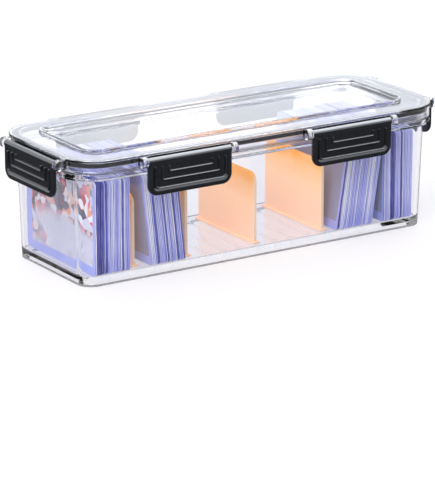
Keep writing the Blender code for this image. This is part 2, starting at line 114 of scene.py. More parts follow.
class Wire:
    """Output of a material's node; sums and products of wires add Math nodes."""

    def __init__(self, tree, socket):
        self.tree = tree
        self.socket = socket

    def add(self, kind, settings=None, inputs=None, output=0):
        """New node in the same material: its settings come first, then the values or wires of its inputs."""
        node = self.tree.nodes.new(kind)
        for name, value in (settings or {}).items():
            if name == "stops":
                ramp = node.color_ramp
                for number, (place, shade) in enumerate(value):
                    stop = ramp.elements[number] if number < 2 else ramp.elements.new(place)
                    stop.position = place
                    stop.color = shade
            else:
                setattr(node, name, value)
        for name, value in (inputs or {}).items():
            if isinstance(value, Wire):
                self.tree.links.new(value.socket, node.inputs[name])
            else:
                node.inputs[name].default_value = value
        return Wire(self.tree, node.outputs[output])

    def sum(self, operation, first, second=0.0):
        return self.add("ShaderNodeMath", {"operation": operation}, {0: first, 1: second})

    def __add__(self, other):
        return self.sum("ADD", self, other)

    def __radd__(self, other):
        return self.sum("ADD", other, self)

    def __sub__(self, other):
        return self.sum("SUBTRACT", self, other)

    def __rsub__(self, other):
        return self.sum("SUBTRACT", other, self)

    def __mul__(self, other):
        return self.sum("MULTIPLY", self, other)

    def __rmul__(self, other):
        return self.sum("MULTIPLY", other, self)

    def __gt__(self, other):
        return self.sum("GREATER_THAN", self, other)

    def __lt__(self, other):
        return self.sum("LESS_THAN", self, other)

    def tint(self, dark, light):
        """Colour between two shades, by this wire."""
        inputs = {0: self, 6: dark, 7: light}
        return self.add("ShaderNodeMix", {"data_type": "RGBA"}, inputs, output=2)

    def noise(self, scale, detail=2.0, stretch=(1, 1, 1)):
        """Noise over this place: finer with a larger scale, drawn out where the stretch is small."""
        place = self.add("ShaderNodeMapping", None, {"Vector": self, "Scale": stretch})
        return self.add("ShaderNodeTexNoise", None, {"Vector": place, "Scale": scale, "Detail": detail})


def new_finish(name):
    """Empty material, its object coordinates and its output node."""
    material = bpy.data.materials.new(name)
    material.use_nodes = True
    tree = material.node_tree
    tree.nodes.clear()
    result = tree.nodes.new("ShaderNodeOutputMaterial")
    coordinates = tree.nodes.new("ShaderNodeTexCoord")
    return material, Wire(tree, coordinates.outputs["Object"]), result


def close_finish(result, shader):
    """Send a shader to the material's output."""
    shader.tree.links.new(shader.socket, result.inputs["Surface"])


def clear_plastic(name, roughness, painted_shade_edges):
    """Polished clear moulding. Lamp rays pass it, so that what it holds is lit, and thin lines of painted
    shade darken it at given heights.
    """
    material, place, result = new_finish(name)
    height = place.add("ShaderNodeSeparateXYZ", None, {"Vector": place}, output=2)
    # Painted shade: thin bands at the given heights tint the plastic dark, for the dark lines its edges
    # gather.
    painted_shade_lines = 0
    for line_height, share in painted_shade_edges:
        above, below = height > line_height - PAINTED_EDGE_HALF, height < line_height + PAINTED_EDGE_HALF
        painted_shade_lines = painted_shade_lines + above * below * share
    flow = place.noise(CLEAR_WAVE_SIZE, 1.0, CLEAR_WAVE_STRETCH)
    film = place.noise(CLEAR_FILM_SIZE, CLEAR_FILM_DETAIL)
    tint = flow.tint(colour(CLEAR_TINTS[0]), colour(CLEAR_TINTS[1]))
    wave = place.add("ShaderNodeBump", None, {
        "Strength": CLEAR_WAVE_STRENGTH, "Distance": CLEAR_WAVE_HEIGHT, "Height": flow,
    })
    body = place.add("ShaderNodeBsdfPrincipled", None, {
        "Base Color": painted_shade_lines.tint(tint, colour(PAINTED_EDGE_SHADE)),
        "Roughness": film * (roughness * CLEAR_FILM_SHARE) + roughness * (1 - CLEAR_FILM_SHARE / 2),
        "IOR": CLEAR_INDEX,
        "Transmission Weight": 1.0,
        "Normal": wave,
    })
    open_air = place.add("ShaderNodeBsdfTransparent", None, {"Color": colour(AIR_TINT)})
    for ray in ("Is Diffuse Ray", "Is Shadow Ray"):
        path = place.add("ShaderNodeLightPath", output=ray)
        body = place.add("ShaderNodeMixShader", None, {0: path, 1: body, 2: open_air})
    close_finish(result, body)
    return material


def rounded_ring(inset, height, corner):
    """Points round the box at a distance inside the lid's outline."""
    points = []
    for quarter in range(4):
        across = 1 if quarter in (0, 3) else -1
        along = 1 if quarter in (0, 1) else -1
        centre = Vector((
            across * (HALF_LENGTH - inset - corner), along * (HALF_WIDTH - inset - corner), height
        ))
        for step in range(CORNER_STEPS + 1):
            angle = math.pi / 2 * (quarter + step / CORNER_STEPS)
            points.append(centre + corner * Vector((math.cos(angle), math.sin(angle), 0)))
    return points


def soften(profile, closed=False):
    """Round each corner of a wall profile: a corner is (inset, height, ring corner, edge radius)."""
    softened = []
    count = len(profile)
    for number, (inset, height, corner, edge) in enumerate(profile):
        here = Vector((inset, height, corner))
        inner = closed or 0 < number < count - 1
        if not edge or not inner:
            softened.append(here)
            continue
        before = Vector(profile[number - 1][:3]) - here
        after = Vector(profile[(number + 1) % count][:3]) - here
        reach = min(edge, before.length * EDGE_REACH_SHARE, after.length * EDGE_REACH_SHARE)
        start = here + before.normalized() * reach
        end = here + after.normalized() * reach
        for step in range(EDGE_STEPS + 1):
            share = step / EDGE_STEPS
            softened.append(
                start * (1 - share) ** 2 + here * (2 * share * (1 - share)) + end * share ** 2
            )
    return softened


def concentric(inset):
    """Corner radius of a ring that runs parallel to the lid's outline."""
    return max(OUTLINE_CORNER - inset, 0.0005)


def skin(name, rings, closed=False):
    """Mesh over rings of equal point count, capped at both ends or closed into a hoop."""
    shape = bmesh.new()
    rows = [[shape.verts.new(point) for point in ring] for ring in rings]
    pairs = list(zip(rows, rows[1:]))
    if closed:
        pairs.append((rows[-1], rows[0]))
    for low, high in pairs:
        for index, vertex in enumerate(low):
            after = (index + 1) % len(low)
            shape.faces.new((vertex, low[after], high[after], high[index]))
    if not closed:
        shape.faces.new(list(reversed(rows[0])))
        shape.faces.new(rows[-1])
    bmesh.ops.recalc_face_normals(shape, faces=shape.faces)
    mesh = bpy.data.meshes.new(name)
    shape.to_mesh(mesh)
    shape.free()
    return mesh


def new_piece(name, mesh, *finishes):
    """Object of one piece, with its materials."""
    piece = bpy.data.objects.new(name, mesh)
    bpy.context.scene.collection.objects.link(piece)
    for finish in finishes:
        if finish.name not in mesh.materials:
            mesh.materials.append(finish)
    return piece


def join_or_cut(piece, tools, operation):
    """Join a piece with other shapes, or cut them out of it, and keep the result as its mesh."""
    for tool in tools:
        modifier = piece.modifiers.new("join_or_cut", "BOOLEAN")
        modifier.operation = operation
        modifier.solver = "EXACT"
        modifier.object = tool
    evaluated = piece.evaluated_get(bpy.context.evaluated_depsgraph_get())
    result = bpy.data.meshes.new_from_object(evaluated)
    piece.modifiers.clear()
    piece.data = result
    for tool in tools:
        bpy.data.objects.remove(tool, do_unlink=True)


def shade_moulding(piece):
    """Smooth shading that keeps flat faces flat."""
    piece.data.shade_smooth()
    piece.data.set_sharp_from_angle(angle=math.radians(SMOOTH_ANGLE))
    modifier = piece.modifiers.new("flat_faces", "WEIGHTED_NORMAL")
    modifier.keep_sharp = True


def block(name, low, high, edge=0.0):
    """Box between two corners, with rounded edges where an edge radius is given."""
    low, high = Vector(low), Vector(high)
    shape = bmesh.new()
    bmesh.ops.create_cube(shape, size=1)
    bmesh.ops.scale(shape, vec=high - low, verts=shape.verts)
    bmesh.ops.translate(shape, vec=(low + high) / 2, verts=shape.verts)
    if edge:
        bmesh.ops.bevel(
            shape, geom=shape.edges[:], offset=edge, offset_type="OFFSET", segments=EDGE_STEPS,
            profile=0.5, affect="EDGES",
        )
    mesh = bpy.data.meshes.new(name)
    shape.to_mesh(mesh)
    shape.free()
    return mesh


def make_tub():
    """Tub shell with softened edges and the grooves in its floor."""
    inner_top = WALL_TOP_INSET + TUB_WALL
    inner_foot = FOOT_INSET + TUB_WALL
    lip_in = LIP_INSET + LIP_WALL
    bead_top = RIM_BOTTOM + RIM_BEAD
    step_in = RIM_INSET + RIM_STEP
    inner_corner = FOOT_CORNER - TUB_WALL
    profile = (
        (FOOT_INSET + FOOT_RING, FOOT_RECESS, FOOT_CORNER / 2, 0),
        (FOOT_INSET + FOOT_RING, 0, FOOT_CORNER / 2, MOULD_EDGE),
        (FOOT_INSET, 0, FOOT_CORNER, 2 * MOULD_EDGE),
        (WALL_TOP_INSET, RIM_BOTTOM, WALL_TOP_CORNER, MOULD_EDGE),
        (RIM_INSET, RIM_BOTTOM, concentric(RIM_INSET), MOULD_EDGE),
        (RIM_INSET, bead_top, concentric(RIM_INSET), FINE_EDGE),
        (step_in, bead_top, concentric(step_in), FINE_EDGE),
        (step_in, LEDGE_TOP, concentric(step_in), FINE_EDGE),
        (LIP_INSET, LEDGE_TOP, concentric(LIP_INSET), MOULD_EDGE),
        (LIP_INSET, LIP_TOP, concentric(LIP_INSET), 2 * MOULD_EDGE),
        (lip_in, LIP_TOP, concentric(lip_in), 2 * MOULD_EDGE),
        (lip_in, LEDGE_TOP, concentric(lip_in), MOULD_EDGE),
        (inner_top, LEDGE_TOP - RIM_STEP, WALL_TOP_CORNER - TUB_WALL, 2 * MOULD_EDGE),
        (inner_foot, FLOOR_TOP, inner_corner, 2 * FLOOR_FILLET),
        (inner_foot + 4 * FLOOR_FILLET, FLOOR_TOP, inner_corner - 4 * FLOOR_FILLET, 0),
    )
    rings = [rounded_ring(point.x, point.y, point.z) for point in soften(profile)]
    # Painted shade lines just above the bead's top and the rim's underside.
    painted_shade_edges = ((bead_top + BEAD_PAINTED_SHADE[0], BEAD_PAINTED_SHADE[1]), (RIM_BOTTOM + RIM_PAINTED_SHADE[0], RIM_PAINTED_SHADE[1]))
    finish = clear_plastic("tub_clear_plastic", TUB_ROUGHNESS, painted_shade_edges)
    piece = new_piece("tub_shell", skin("tub_shell", rings), finish)
    cutters = []
    for number in range(-GROOVES_EACH_WAY, GROOVES_EACH_WAY + 1):
        centre = GROOVE_SHIFT + number * GROOVE_PITCH
        low = (centre - GROOVE_HALF_WIDTH, -GROOVE_HALF_LENGTH, FLOOR_TOP - GROOVE_DEPTH)
        high = (centre + GROOVE_HALF_WIDTH, GROOVE_HALF_LENGTH, FLOOR_TOP + GROOVE_DEPTH)
        mesh = block("groove", low, high)
        for vertex in mesh.vertices:
            if vertex.co.z > FLOOR_TOP:
                vertex.co.x += math.copysign(GROOVE_SLOPE, vertex.co.x - centre)
        if centre + GROOVE_HALF_WIDTH < HALF_LENGTH - inner_foot - 4 * FLOOR_FILLET:
            cutters.append(new_piece(f"groove_{number}", mesh))
    join_or_cut(piece, cutters, "DIFFERENCE")
    shade_moulding(piece)
    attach(piece, "base")
    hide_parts("base_bin")


make_tub()

# Lid: a second clear moulding. Its flange carries a raised stacking ridge round a recessed panel, its
# skirt and inner plug hold the seal between them, and pairs of round lugs hang at its edge, with the
# pins that the latches turn on.
LID_TOP = 0.105
LID_PLATE = 0.0024
FLANGE_UNDER = LID_TOP - LID_PLATE
SKIRT_INSET = 0.0006
SKIRT_WALL = 0.0018
SKIRT_BOTTOM = LEDGE_TOP + 0.0003
PLUG_OUT = 0.0074
PLUG_WALL = 0.0020
PLUG_BOTTOM = LEDGE_TOP + 0.0010
RIDGE_INSET = 0.0220
RIDGE_WIDTH = 0.0028
RIDGE_RISE = 0.0022
RIDGE_CORNER = 0.014
PANEL_DROP = 0.0035
PANEL_SLOPE = 0.0052
PANEL_CORNER = 0.006
BOW_SHARE = 0.67
FLANGE_EDGE = 0.0008
LUG_RADIUS = 0.0044
LUG_WIDTH = 0.0050
LUG_EDGE = 0.0006
LUG_ROOT_HEIGHT = 0.0068
LUG_SIDES = 40
PIN_RADIUS = 0.0015
PIN_LENGTH = 0.0030
RUN_GAP = 0.0004
LID_ROUGHNESS = 0.02
# Painted shade lines of the lid: height above the skirt's foot and the flange's underside, and their
# strength.
SKIRT_PAINTED_SHADE = (0.0004, 0.8)
FLANGE_PAINTED_SHADE = (0.0005, 0.7)
latch_low, latch_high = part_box("latch_front_left")
LATCH_WIDTH = latch_high.x - latch_low.x
hinges = [joint for joint in frame["record"]["behaviour"]["joints"] if joint["type"] == "hinge"]


def hinge_matrix(hinge):
    """Place of a latch: its pivot, turned so that its face looks out of the box."""
    turn = math.atan2(-hinge["axis"][1], -hinge["axis"][0])
    return Matrix.Translation(hinge["pos_m"]) @ Matrix.Rotation(turn, 4, "Z")


def turned(name, profile, sides):
    """Closed shape turned about X from a profile of places along X and radii."""
    rings = []
    for along, radius in profile:
        ring = []
        for side in range(sides):
            angle = math.tau * side / sides
            ring.append(Vector((along, radius * math.cos(angle), radius * math.sin(angle))))
        rings.append(ring)
    return skin(name, rings)


def lug_root_reach(hinge, far):
    """How far in from the lid's edge a lug's root runs to end inside the skirt's wall."""
    on_long_side = abs(hinge["axis"][0]) > 0.5
    straight = (HALF_LENGTH if on_long_side else HALF_WIDTH) - OUTLINE_CORNER
    offset = abs(hinge["pos_m"][0]) if on_long_side else 0
    past = max(offset + far - straight, 0)
    bow = OUTLINE_CORNER - math.sqrt(OUTLINE_CORNER ** 2 - past ** 2)
    return SKIRT_INSET + SKIRT_WALL / 2 + bow


def lug_tools():
    """Round lugs, their roots and their pins, two for each latch."""
    axis_out = abs(hinges[0]["pos_m"][1]) - HALF_WIDTH
    near = LATCH_WIDTH / 2 + RUN_GAP
    far = near + LUG_WIDTH
    tools = []
    for hinge in hinges:
        matrix = hinge_matrix(hinge)
        reach = lug_root_reach(hinge, far)
        for side in (-1, 1):
            rims = (near, near + LUG_EDGE / 3, near + LUG_EDGE, far - LUG_EDGE, far - LUG_EDGE / 3, far)
            drops = (LUG_EDGE, LUG_EDGE / 3, 0, 0, LUG_EDGE / 3, LUG_EDGE)
            lug = [(side * rim, LUG_RADIUS - drop) for rim, drop in zip(rims, drops)]
            pin = [(side * (near - PIN_LENGTH), PIN_RADIUS), (side * (near + LUG_EDGE), PIN_RADIUS)]
            ends = sorted((side * (near + LUG_EDGE / 2), side * (far - LUG_EDGE / 2)))
            low = (ends[0], 0, -LUG_ROOT_HEIGHT / 2)
            high = (ends[1], axis_out + reach, LUG_ROOT_HEIGHT / 2)
            meshes = (
                turned("lug", lug, LUG_SIDES), block("lug_root", low, high), turned("pin", pin, LUG_SIDES)
            )
            for mesh in meshes:
                tool = new_piece(mesh.name, mesh)
                tool.matrix_world = matrix
                tools.append(tool)
    return tools


def make_lid():
    """Lid shell: panel, ridge, flange, skirt and plug in one skin, joined with its lugs."""
    ridge_top = LID_TOP + RIDGE_RISE
    panel_top = LID_TOP - PANEL_DROP
    ridge_in = RIDGE_INSET + RIDGE_WIDTH
    slope_end = ridge_in + PANEL_SLOPE
    plug_in = PLUG_OUT + PLUG_WALL
    skirt_in = SKIRT_INSET + SKIRT_WALL
    ridge_inner_corner = RIDGE_CORNER - RIDGE_WIDTH
    slope_middle = (ridge_in + slope_end) / 2
    middle_corner = (ridge_inner_corner + PANEL_CORNER) / 2
    profile = (
        (slope_end + PANEL_CORNER / 2, panel_top - LID_PLATE, PANEL_CORNER / 2, 0),
        (slope_end, panel_top - LID_PLATE, PANEL_CORNER, 3 * MOULD_EDGE),
        (ridge_in, FLANGE_UNDER, ridge_inner_corner, 3 * MOULD_EDGE),
        (plug_in, FLANGE_UNDER, concentric(plug_in), MOULD_EDGE),
        (plug_in, PLUG_BOTTOM, concentric(plug_in), MOULD_EDGE),
        (PLUG_OUT, PLUG_BOTTOM, concentric(PLUG_OUT), MOULD_EDGE),
        (PLUG_OUT, FLANGE_UNDER, concentric(PLUG_OUT), FINE_EDGE),
        (skirt_in, FLANGE_UNDER, concentric(skirt_in), FINE_EDGE),
        (skirt_in, SKIRT_BOTTOM, concentric(skirt_in), MOULD_EDGE),
        (SKIRT_INSET, SKIRT_BOTTOM, concentric(SKIRT_INSET), MOULD_EDGE),
        (SKIRT_INSET, FLANGE_UNDER, concentric(SKIRT_INSET), FINE_EDGE),
        (0, FLANGE_UNDER + FLANGE_EDGE / 2, concentric(0), FINE_EDGE),
        (0, LID_TOP, concentric(0), 2 * FLANGE_EDGE),
        (RIDGE_INSET, LID_TOP, RIDGE_CORNER, MOULD_EDGE),
        (RIDGE_INSET + FINE_EDGE, ridge_top, RIDGE_CORNER - FINE_EDGE, 2 * MOULD_EDGE),
        (ridge_in - FINE_EDGE, ridge_top, ridge_inner_corner + FINE_EDGE, 2 * MOULD_EDGE),
        (slope_middle, LID_TOP - PANEL_DROP * BOW_SHARE, middle_corner, 4 * MOULD_EDGE),
        (slope_end, panel_top, PANEL_CORNER, 2 * MOULD_EDGE),
        (slope_end + PANEL_CORNER / 2, panel_top, PANEL_CORNER / 2, 0),
    )
    rings = [rounded_ring(point.x, point.y, point.z) for point in soften(profile)]
    # Painted shade lines just above the skirt's foot and the flange's underside.
    painted_shade_edges = (
        (SKIRT_BOTTOM + SKIRT_PAINTED_SHADE[0], SKIRT_PAINTED_SHADE[1]), (FLANGE_UNDER + FLANGE_PAINTED_SHADE[0], FLANGE_PAINTED_SHADE[1]),
    )
    finish = clear_plastic("lid_clear_plastic", LID_ROUGHNESS, painted_shade_edges)
    piece = new_piece("lid_shell", skin("lid_shell", rings), finish)
    join_or_cut(piece, lug_tools(), "UNION")
    shade_moulding(piece)
    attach(piece, "lid")
    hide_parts("lid")


make_lid()

# Seal: a soft black silicone cord of nearly square section, pressed into the channel between the
# lid's skirt and plug. Two fine lips along its underside bed on the tub's lip.
SEAL_OUT = 0.0027
SEAL_WIDTH = 0.0044
SEAL_LIP = 0.0005
SEAL_ROUND = 0.0006
SEAL_SHADES = ("#030406", "#0a0b10")
SEAL_GRAIN_SIZE = 900
SEAL_GRAIN_DETAIL = 4.0
SEAL_PORE_STRENGTH = 0.15
SEAL_PORE_HEIGHT = 0.0002
SEAL_ROUGHNESS = (0.2, 0.45)
SEAL_SHEEN = 0.12
seal_low, seal_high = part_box("lid_gasket")


def black_silicone():
    """Matt black rubber with a dusty grain."""
    material, place, result = new_finish("seal_silicone")
    grain = place.noise(SEAL_GRAIN_SIZE, SEAL_GRAIN_DETAIL)
    pores = place.add("ShaderNodeBump", None, {
        "Strength": SEAL_PORE_STRENGTH, "Distance": SEAL_PORE_HEIGHT, "Height": grain,
    })
    shader = place.add("ShaderNodeBsdfPrincipled", None, {
        "Base Color": grain.tint(colour(SEAL_SHADES[0]), colour(SEAL_SHADES[1])),
        "Roughness": grain * SEAL_ROUGHNESS[0] + SEAL_ROUGHNESS[1],
        "Specular IOR Level": SEAL_SHEEN,
        "Normal": pores,
    })
    close_finish(result, shader)
    return material


def make_seal():
    """Seal with its two lips."""
    seal_in = SEAL_OUT + SEAL_WIDTH
    middle = (SEAL_OUT + seal_in) / 2
    lip_top = seal_low.z + SEAL_LIP
    places = (
        (SEAL_OUT, seal_low.z), (middle - SEAL_LIP, seal_low.z), (middle, lip_top),
        (middle + SEAL_LIP, seal_low.z), (seal_in, seal_low.z), (seal_in, seal_high.z),
        (SEAL_OUT, seal_high.z),
    )
    profile = [(inset, height, concentric(inset), SEAL_ROUND) for inset, height in places]
    rings = [rounded_ring(point.x, point.y, point.z) for point in soften(profile, closed=True)]
    piece = new_piece("seal_cord", skin("seal_cord", rings, closed=True), black_silicone())
    shade_moulding(piece)
    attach(piece, "lid")
    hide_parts("lid_gasket")


make_seal()

# Latches: six black satin mouldings on the lid's lugs. Each has a round barrel bored for the pins, a
# swollen border round a sunk face, three nested raised ribs open at the top, and a hook rib behind
# that catches under the tub's rim.
LATCH_DROP = 0.0277
LATCH_PLATE = 0.0034
LATCH_CORNER = 0.0085
LATCH_BORDER = 0.0050
LATCH_SINK = 0.0006
LATCH_EDGE = 0.0010
BARREL_RADIUS = 0.0031
BARREL_BORE = 0.0018
BARREL_EDGE = 0.0004
BORE_DEPTH = 0.0036
HOOK_HALF_WIDTH = 0.025
HOOK_HEIGHT = 0.0034
HOOK_EDGE = 0.0007
RIB_MARGINS = (0.0062, 0.0125, 0.0188)
RIB_HALF_WIDTH = 0.0008
RIB_RISE = 0.0006
RIB_HEAD = 0.0040
RIB_CORNERS = (0.0032, 0.0012, 0.0009)
RIB_SIDES = 8
RIB_TAPER = (0.35, 0.8, 1.0)
BARREL_SIDES = 40
HOOK_GAP = 0.0003
HOOK_PAST_RIM = 0.0001
LATCH_REAR_EDGE = ((0.6, 0), (0.15, 0.15), (0, 0.6))
LATCH_SWELL = (
    (0, 1.6), (0.00012, 1.15), (0.0004, 0.75), (0.0009, 0.42), (0.0016, 0.17), (0.0024, 0.03), (0.0031, 0),
    (0.0039, 0.08), (0.0045, 0.28),
)
LATCH_FACE_STEP = 0.0006
LATCH_DISH = 1.15
LATCH_SHADES = ("#0d0e12", "#1a1c21")
LATCH_GRAIN_SIZE = 2600
LATCH_RUB_SIZE = 60
LATCH_RUB_STRETCH = (0.3, 1, 1)
LATCH_NOISE_DETAIL = 3.0
LATCH_GRAIN_STRENGTH = 0.12
LATCH_GRAIN_HEIGHT = 0.0001
LATCH_ROUGHNESS = 0.13
LATCH_RUB_ROUGHNESS = 0.06
LATCH_GRAIN_ROUGHNESS = 0.05
LATCH_SHEEN = 0.7


def latch_black():
    """Satin black nylon: fine mould grain, soft sheen, faint rub marks in patches over the whole latch."""
    material, place, result = new_finish("latch_black_plastic")
    grain = place.noise(LATCH_GRAIN_SIZE, LATCH_NOISE_DETAIL)
    rub = place.noise(LATCH_RUB_SIZE, LATCH_NOISE_DETAIL, LATCH_RUB_STRETCH)
    texture = place.add("ShaderNodeBump", None, {
        "Strength": LATCH_GRAIN_STRENGTH, "Distance": LATCH_GRAIN_HEIGHT, "Height": grain,
    })
    shader = place.add("ShaderNodeBsdfPrincipled", None, {
        "Base Color": rub.tint(colour(LATCH_SHADES[0]), colour(LATCH_SHADES[1])),
        "Roughness": rub * LATCH_RUB_ROUGHNESS + (grain * LATCH_GRAIN_ROUGHNESS + LATCH_ROUGHNESS),
        "Specular IOR Level": LATCH_SHEEN,
        "Normal": texture,
    })
    close_finish(result, shader)
    return material


def latch_ring(inset, depth):
    """Ring round the latch plate: square at the barrel, rounded at its lower corners."""
    half = LATCH_WIDTH / 2 - inset
    bottom = -LATCH_DROP + inset
    corner = max(LATCH_CORNER - inset, LATCH_EDGE)
    points = [Vector((half, depth, -inset / 2)), Vector((-half, depth, -inset / 2))]
    for side in (-1, 1):
        for step in range(CORNER_STEPS + 1):
            angle = math.pi / 2 * step / CORNER_STEPS
            swing = angle if side < 0 else math.pi / 2 - angle
            across = side * (half - corner + corner * math.cos(swing))
            points.append(Vector((across, depth, bottom + corner - corner * math.sin(swing))))
    return points


def rib_route(margin, corner):
    """Middle line of one raised rib: down, across and up again, with rounded lower corners."""
    half = LATCH_WIDTH / 2 - margin
    bottom = -LATCH_DROP + margin
    points = [Vector((-half, 0, -RIB_HEAD))]
    for side in (-1, 1):
        for step in range(EDGE_STEPS * 2 + 1):
            angle = math.pi / 2 * step / (EDGE_STEPS * 2)
            swing = angle if side < 0 else math.pi / 2 - angle
            across = side * (half - corner + corner * math.cos(swing))
            points.append(Vector((across, 0, bottom + corner - corner * math.sin(swing))))
    points.append(Vector((half, 0, -RIB_HEAD)))
    return points


def rib_mesh(route, face):
    """Half-round rib swept along its route, tapering into the face at both ends."""
    rings = []
    last = len(route) - 1
    stations = []
    for number, point in enumerate(route):
        if number == 0 or number == last:
            step = (route[1] - point if number == 0 else route[last - 1] - point).normalized()
            moves = [RIB_HALF_WIDTH * (1 - share) for share in RIB_TAPER]
            ends = [(point + step * (RIB_HALF_WIDTH - move), share) for move, share in zip(moves, RIB_TAPER)]
            stations.extend(ends if number == 0 else reversed(ends))
        else:
            stations.append((point, 1.0))
    for number, (point, share) in enumerate(stations):
        before = stations[max(number - 1, 0)][0]
        after = stations[min(number + 1, len(stations) - 1)][0]
        run = (after - before).normalized()
        side_way = run.cross(Vector((0, 1, 0))).normalized()
        ring = []
        for side in range(RIB_SIDES):
            angle = math.tau * side / RIB_SIDES
            out = side_way * (RIB_HALF_WIDTH * share * math.cos(angle))
            lift = (LATCH_SINK + RIB_RISE) * share * math.sin(angle)
            ring.append(point + out + Vector((0, face + LATCH_SINK - lift, 0)))
        rings.append(ring)
    return skin("rib", rings)


def latch_mesh():
    """One latch about its pivot: plate, barrel, hook and ribs joined, then bored."""
    face = -BARREL_RADIUS
    back = face + LATCH_PLATE
    swell = [(LATCH_EDGE * inset, back - LATCH_EDGE * rise) for inset, rise in LATCH_REAR_EDGE]
    swell += [(inset, face + LATCH_EDGE * sink) for inset, sink in LATCH_SWELL]
    swell.append((LATCH_BORDER, face + LATCH_SINK))
    swell.append((LATCH_BORDER + LATCH_FACE_STEP, face + LATCH_SINK * LATCH_DISH))
    plate = new_piece("latch_plate", skin("latch_plate", [latch_ring(*place) for place in swell]))
    half = LATCH_WIDTH / 2
    barrel = (
        (-half, BARREL_RADIUS - BARREL_EDGE), (-half + BARREL_EDGE / 3, BARREL_RADIUS - BARREL_EDGE / 3),
        (-half + BARREL_EDGE, BARREL_RADIUS), (half - BARREL_EDGE, BARREL_RADIUS),
        (half - BARREL_EDGE / 3, BARREL_RADIUS - BARREL_EDGE / 3), (half, BARREL_RADIUS - BARREL_EDGE),
    )
    hook_high = RIM_BOTTOM - HOOK_GAP - hinges[0]["pos_m"][2]
    hook_in = abs(hinges[0]["pos_m"][1]) - HALF_WIDTH + HOOK_PAST_RIM
    low = (-HOOK_HALF_WIDTH, back - LATCH_PLATE / 2, hook_high - HOOK_HEIGHT)
    high = (HOOK_HALF_WIDTH, hook_in, hook_high)
    meshes = [turned("barrel", barrel, BARREL_SIDES), block("hook", low, high, HOOK_EDGE)]
    for margin, corner in zip(RIB_MARGINS, RIB_CORNERS):
        meshes.append(rib_mesh(rib_route(margin, corner), face))
    join_or_cut(plate, [new_piece(mesh.name, mesh) for mesh in meshes], "UNION")
    bores = []
    for side in (-1, 1):
        bore = ((side * (half - BORE_DEPTH), BARREL_BORE), (side * (half + BORE_DEPTH), BARREL_BORE))
        bores.append(new_piece("bore", turned("bore", bore, BARREL_SIDES)))
    join_or_cut(plate, bores, "DIFFERENCE")
    mesh = plate.data
    bpy.data.objects.remove(plate, do_unlink=True)
    return mesh


def make_latches():
    """Six latches that share one moulding."""
    mesh = latch_mesh()
    mesh.materials.clear()
    finish = latch_black()
    for hinge in hinges:
        node = hinge["child"]
        piece = new_piece(node.replace("latch_", "snap_"), mesh, finish)
        piece.matrix_world = hinge_matrix(hinge)
        shade_moulding(piece)
        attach(piece, node)
        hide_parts(node)


make_latches()

# Dividers: thin panels of translucent peach plastic with rounded top corners. Each stands on a wider
# foot strip that drops into a groove of the floor. Painted light stands in for the light that passes
# through the panels: the peach turns deeper and more orange towards the top, the panels give off a
# faint glow of their own colour, and their cut edges are painted a lighter cream.
PANEL_ROUND = 0.0080
PANEL_EDGE = 0.0005
FOOT_HEIGHT = 0.0016
PANEL_THICKNESS = 0.0030
PANEL_SIDE_STEP = 0.0018
EDGE_FACING = 0.8
PANEL_SECTION = ((-1, 1), (-0.9, 0.5), (-0.7, 0), (0.7, 0), (0.9, 0.5), (1, 1))
# Painted light: peach that turns deeper and more orange towards the top, between the two heights below.
PEACH_AND_PAINTED_GLOW_STOPS = ((0.0, "#fdd0ae"), (0.55, "#fdd2a8"), (0.85, "#fdc588"), (1.0, "#fbb056"))
PEACH_PAINTED_GLOW_HEIGHTS = (0.012, 0.062)
PEACH_CLOUD_SIZE = 35
PEACH_CLOUD_SHARE = 0.35
PEACH_ROUGHNESS = (0.15, 0.28)
# Painted glow: the panels give off faint light of their own colour.
PEACH_PAINTED_GLOW = 0.26
PEACH_DEPTH_SHARE = 0.2
PEACH_DEPTHS = (0.004, 0.002, 0.001)
# Painted glow: the lighter cream of the cut edges, where light gathers.
PEACH_EDGE_PAINTED_GLOW_SHADES = ("#f7cba0", "#ffe6bd")
PEACH_STREAK_SIZE = 220
PEACH_STREAK_STRETCH = (1, 1, 0.1)
PEACH_EDGE_ROUGHNESS = (0.2, 0.2)


def peach_plastic_painted_glow():
    """Translucent peach with painted light: deeper and more orange towards the top, and a faint glow of its
    own.
    """
    material, place, result = new_finish("divider_peach_painted_glow")
    height = place.add("ShaderNodeSeparateXYZ", None, {"Vector": place}, output=2)
    cloud = place.noise(PEACH_CLOUD_SIZE)
    low, high = PEACH_PAINTED_GLOW_HEIGHTS
    rise = place.add("ShaderNodeMapRange", None, {"Value": height, "From Min": low, "From Max": high})
    # Painted light: the orange rises with height, broken up by the cloud.
    painted_glow_mask = rise + (cloud - 0.5) * PEACH_CLOUD_SHARE
    stops = [(share, colour(code)) for share, code in PEACH_AND_PAINTED_GLOW_STOPS]
    face = place.add("ShaderNodeValToRGB", {"stops": stops}, {"Fac": painted_glow_mask})
    shader = place.add("ShaderNodeBsdfPrincipled", None, {
        "Base Color": face,
        "Roughness": cloud * PEACH_ROUGHNESS[0] + PEACH_ROUGHNESS[1],
        # Painted glow, though the panel is no lamp.
        "Emission Color": face,
        "Emission Strength": PEACH_PAINTED_GLOW,
        "Subsurface Weight": PEACH_DEPTH_SHARE,
        "Subsurface Radius": PEACH_DEPTHS,
        "Subsurface Scale": 1.0,
    })
    close_finish(result, shader)
    return material


def peach_edge_painted_glow():
    """Cut edge of the same plastic, painted a lighter cream glow where light gathers."""
    material, place, result = new_finish("divider_edge_painted_glow")
    streak = place.noise(PEACH_STREAK_SIZE, stretch=PEACH_STREAK_STRETCH)
    shader = place.add("ShaderNodeBsdfPrincipled", None, {
        "Base Color": streak.tint(colour(PEACH_EDGE_PAINTED_GLOW_SHADES[0]), colour(PEACH_EDGE_PAINTED_GLOW_SHADES[1])),
        "Roughness": streak * PEACH_EDGE_ROUGHNESS[0] + PEACH_EDGE_ROUGHNESS[1],
    })
    close_finish(result, shader)
    return material


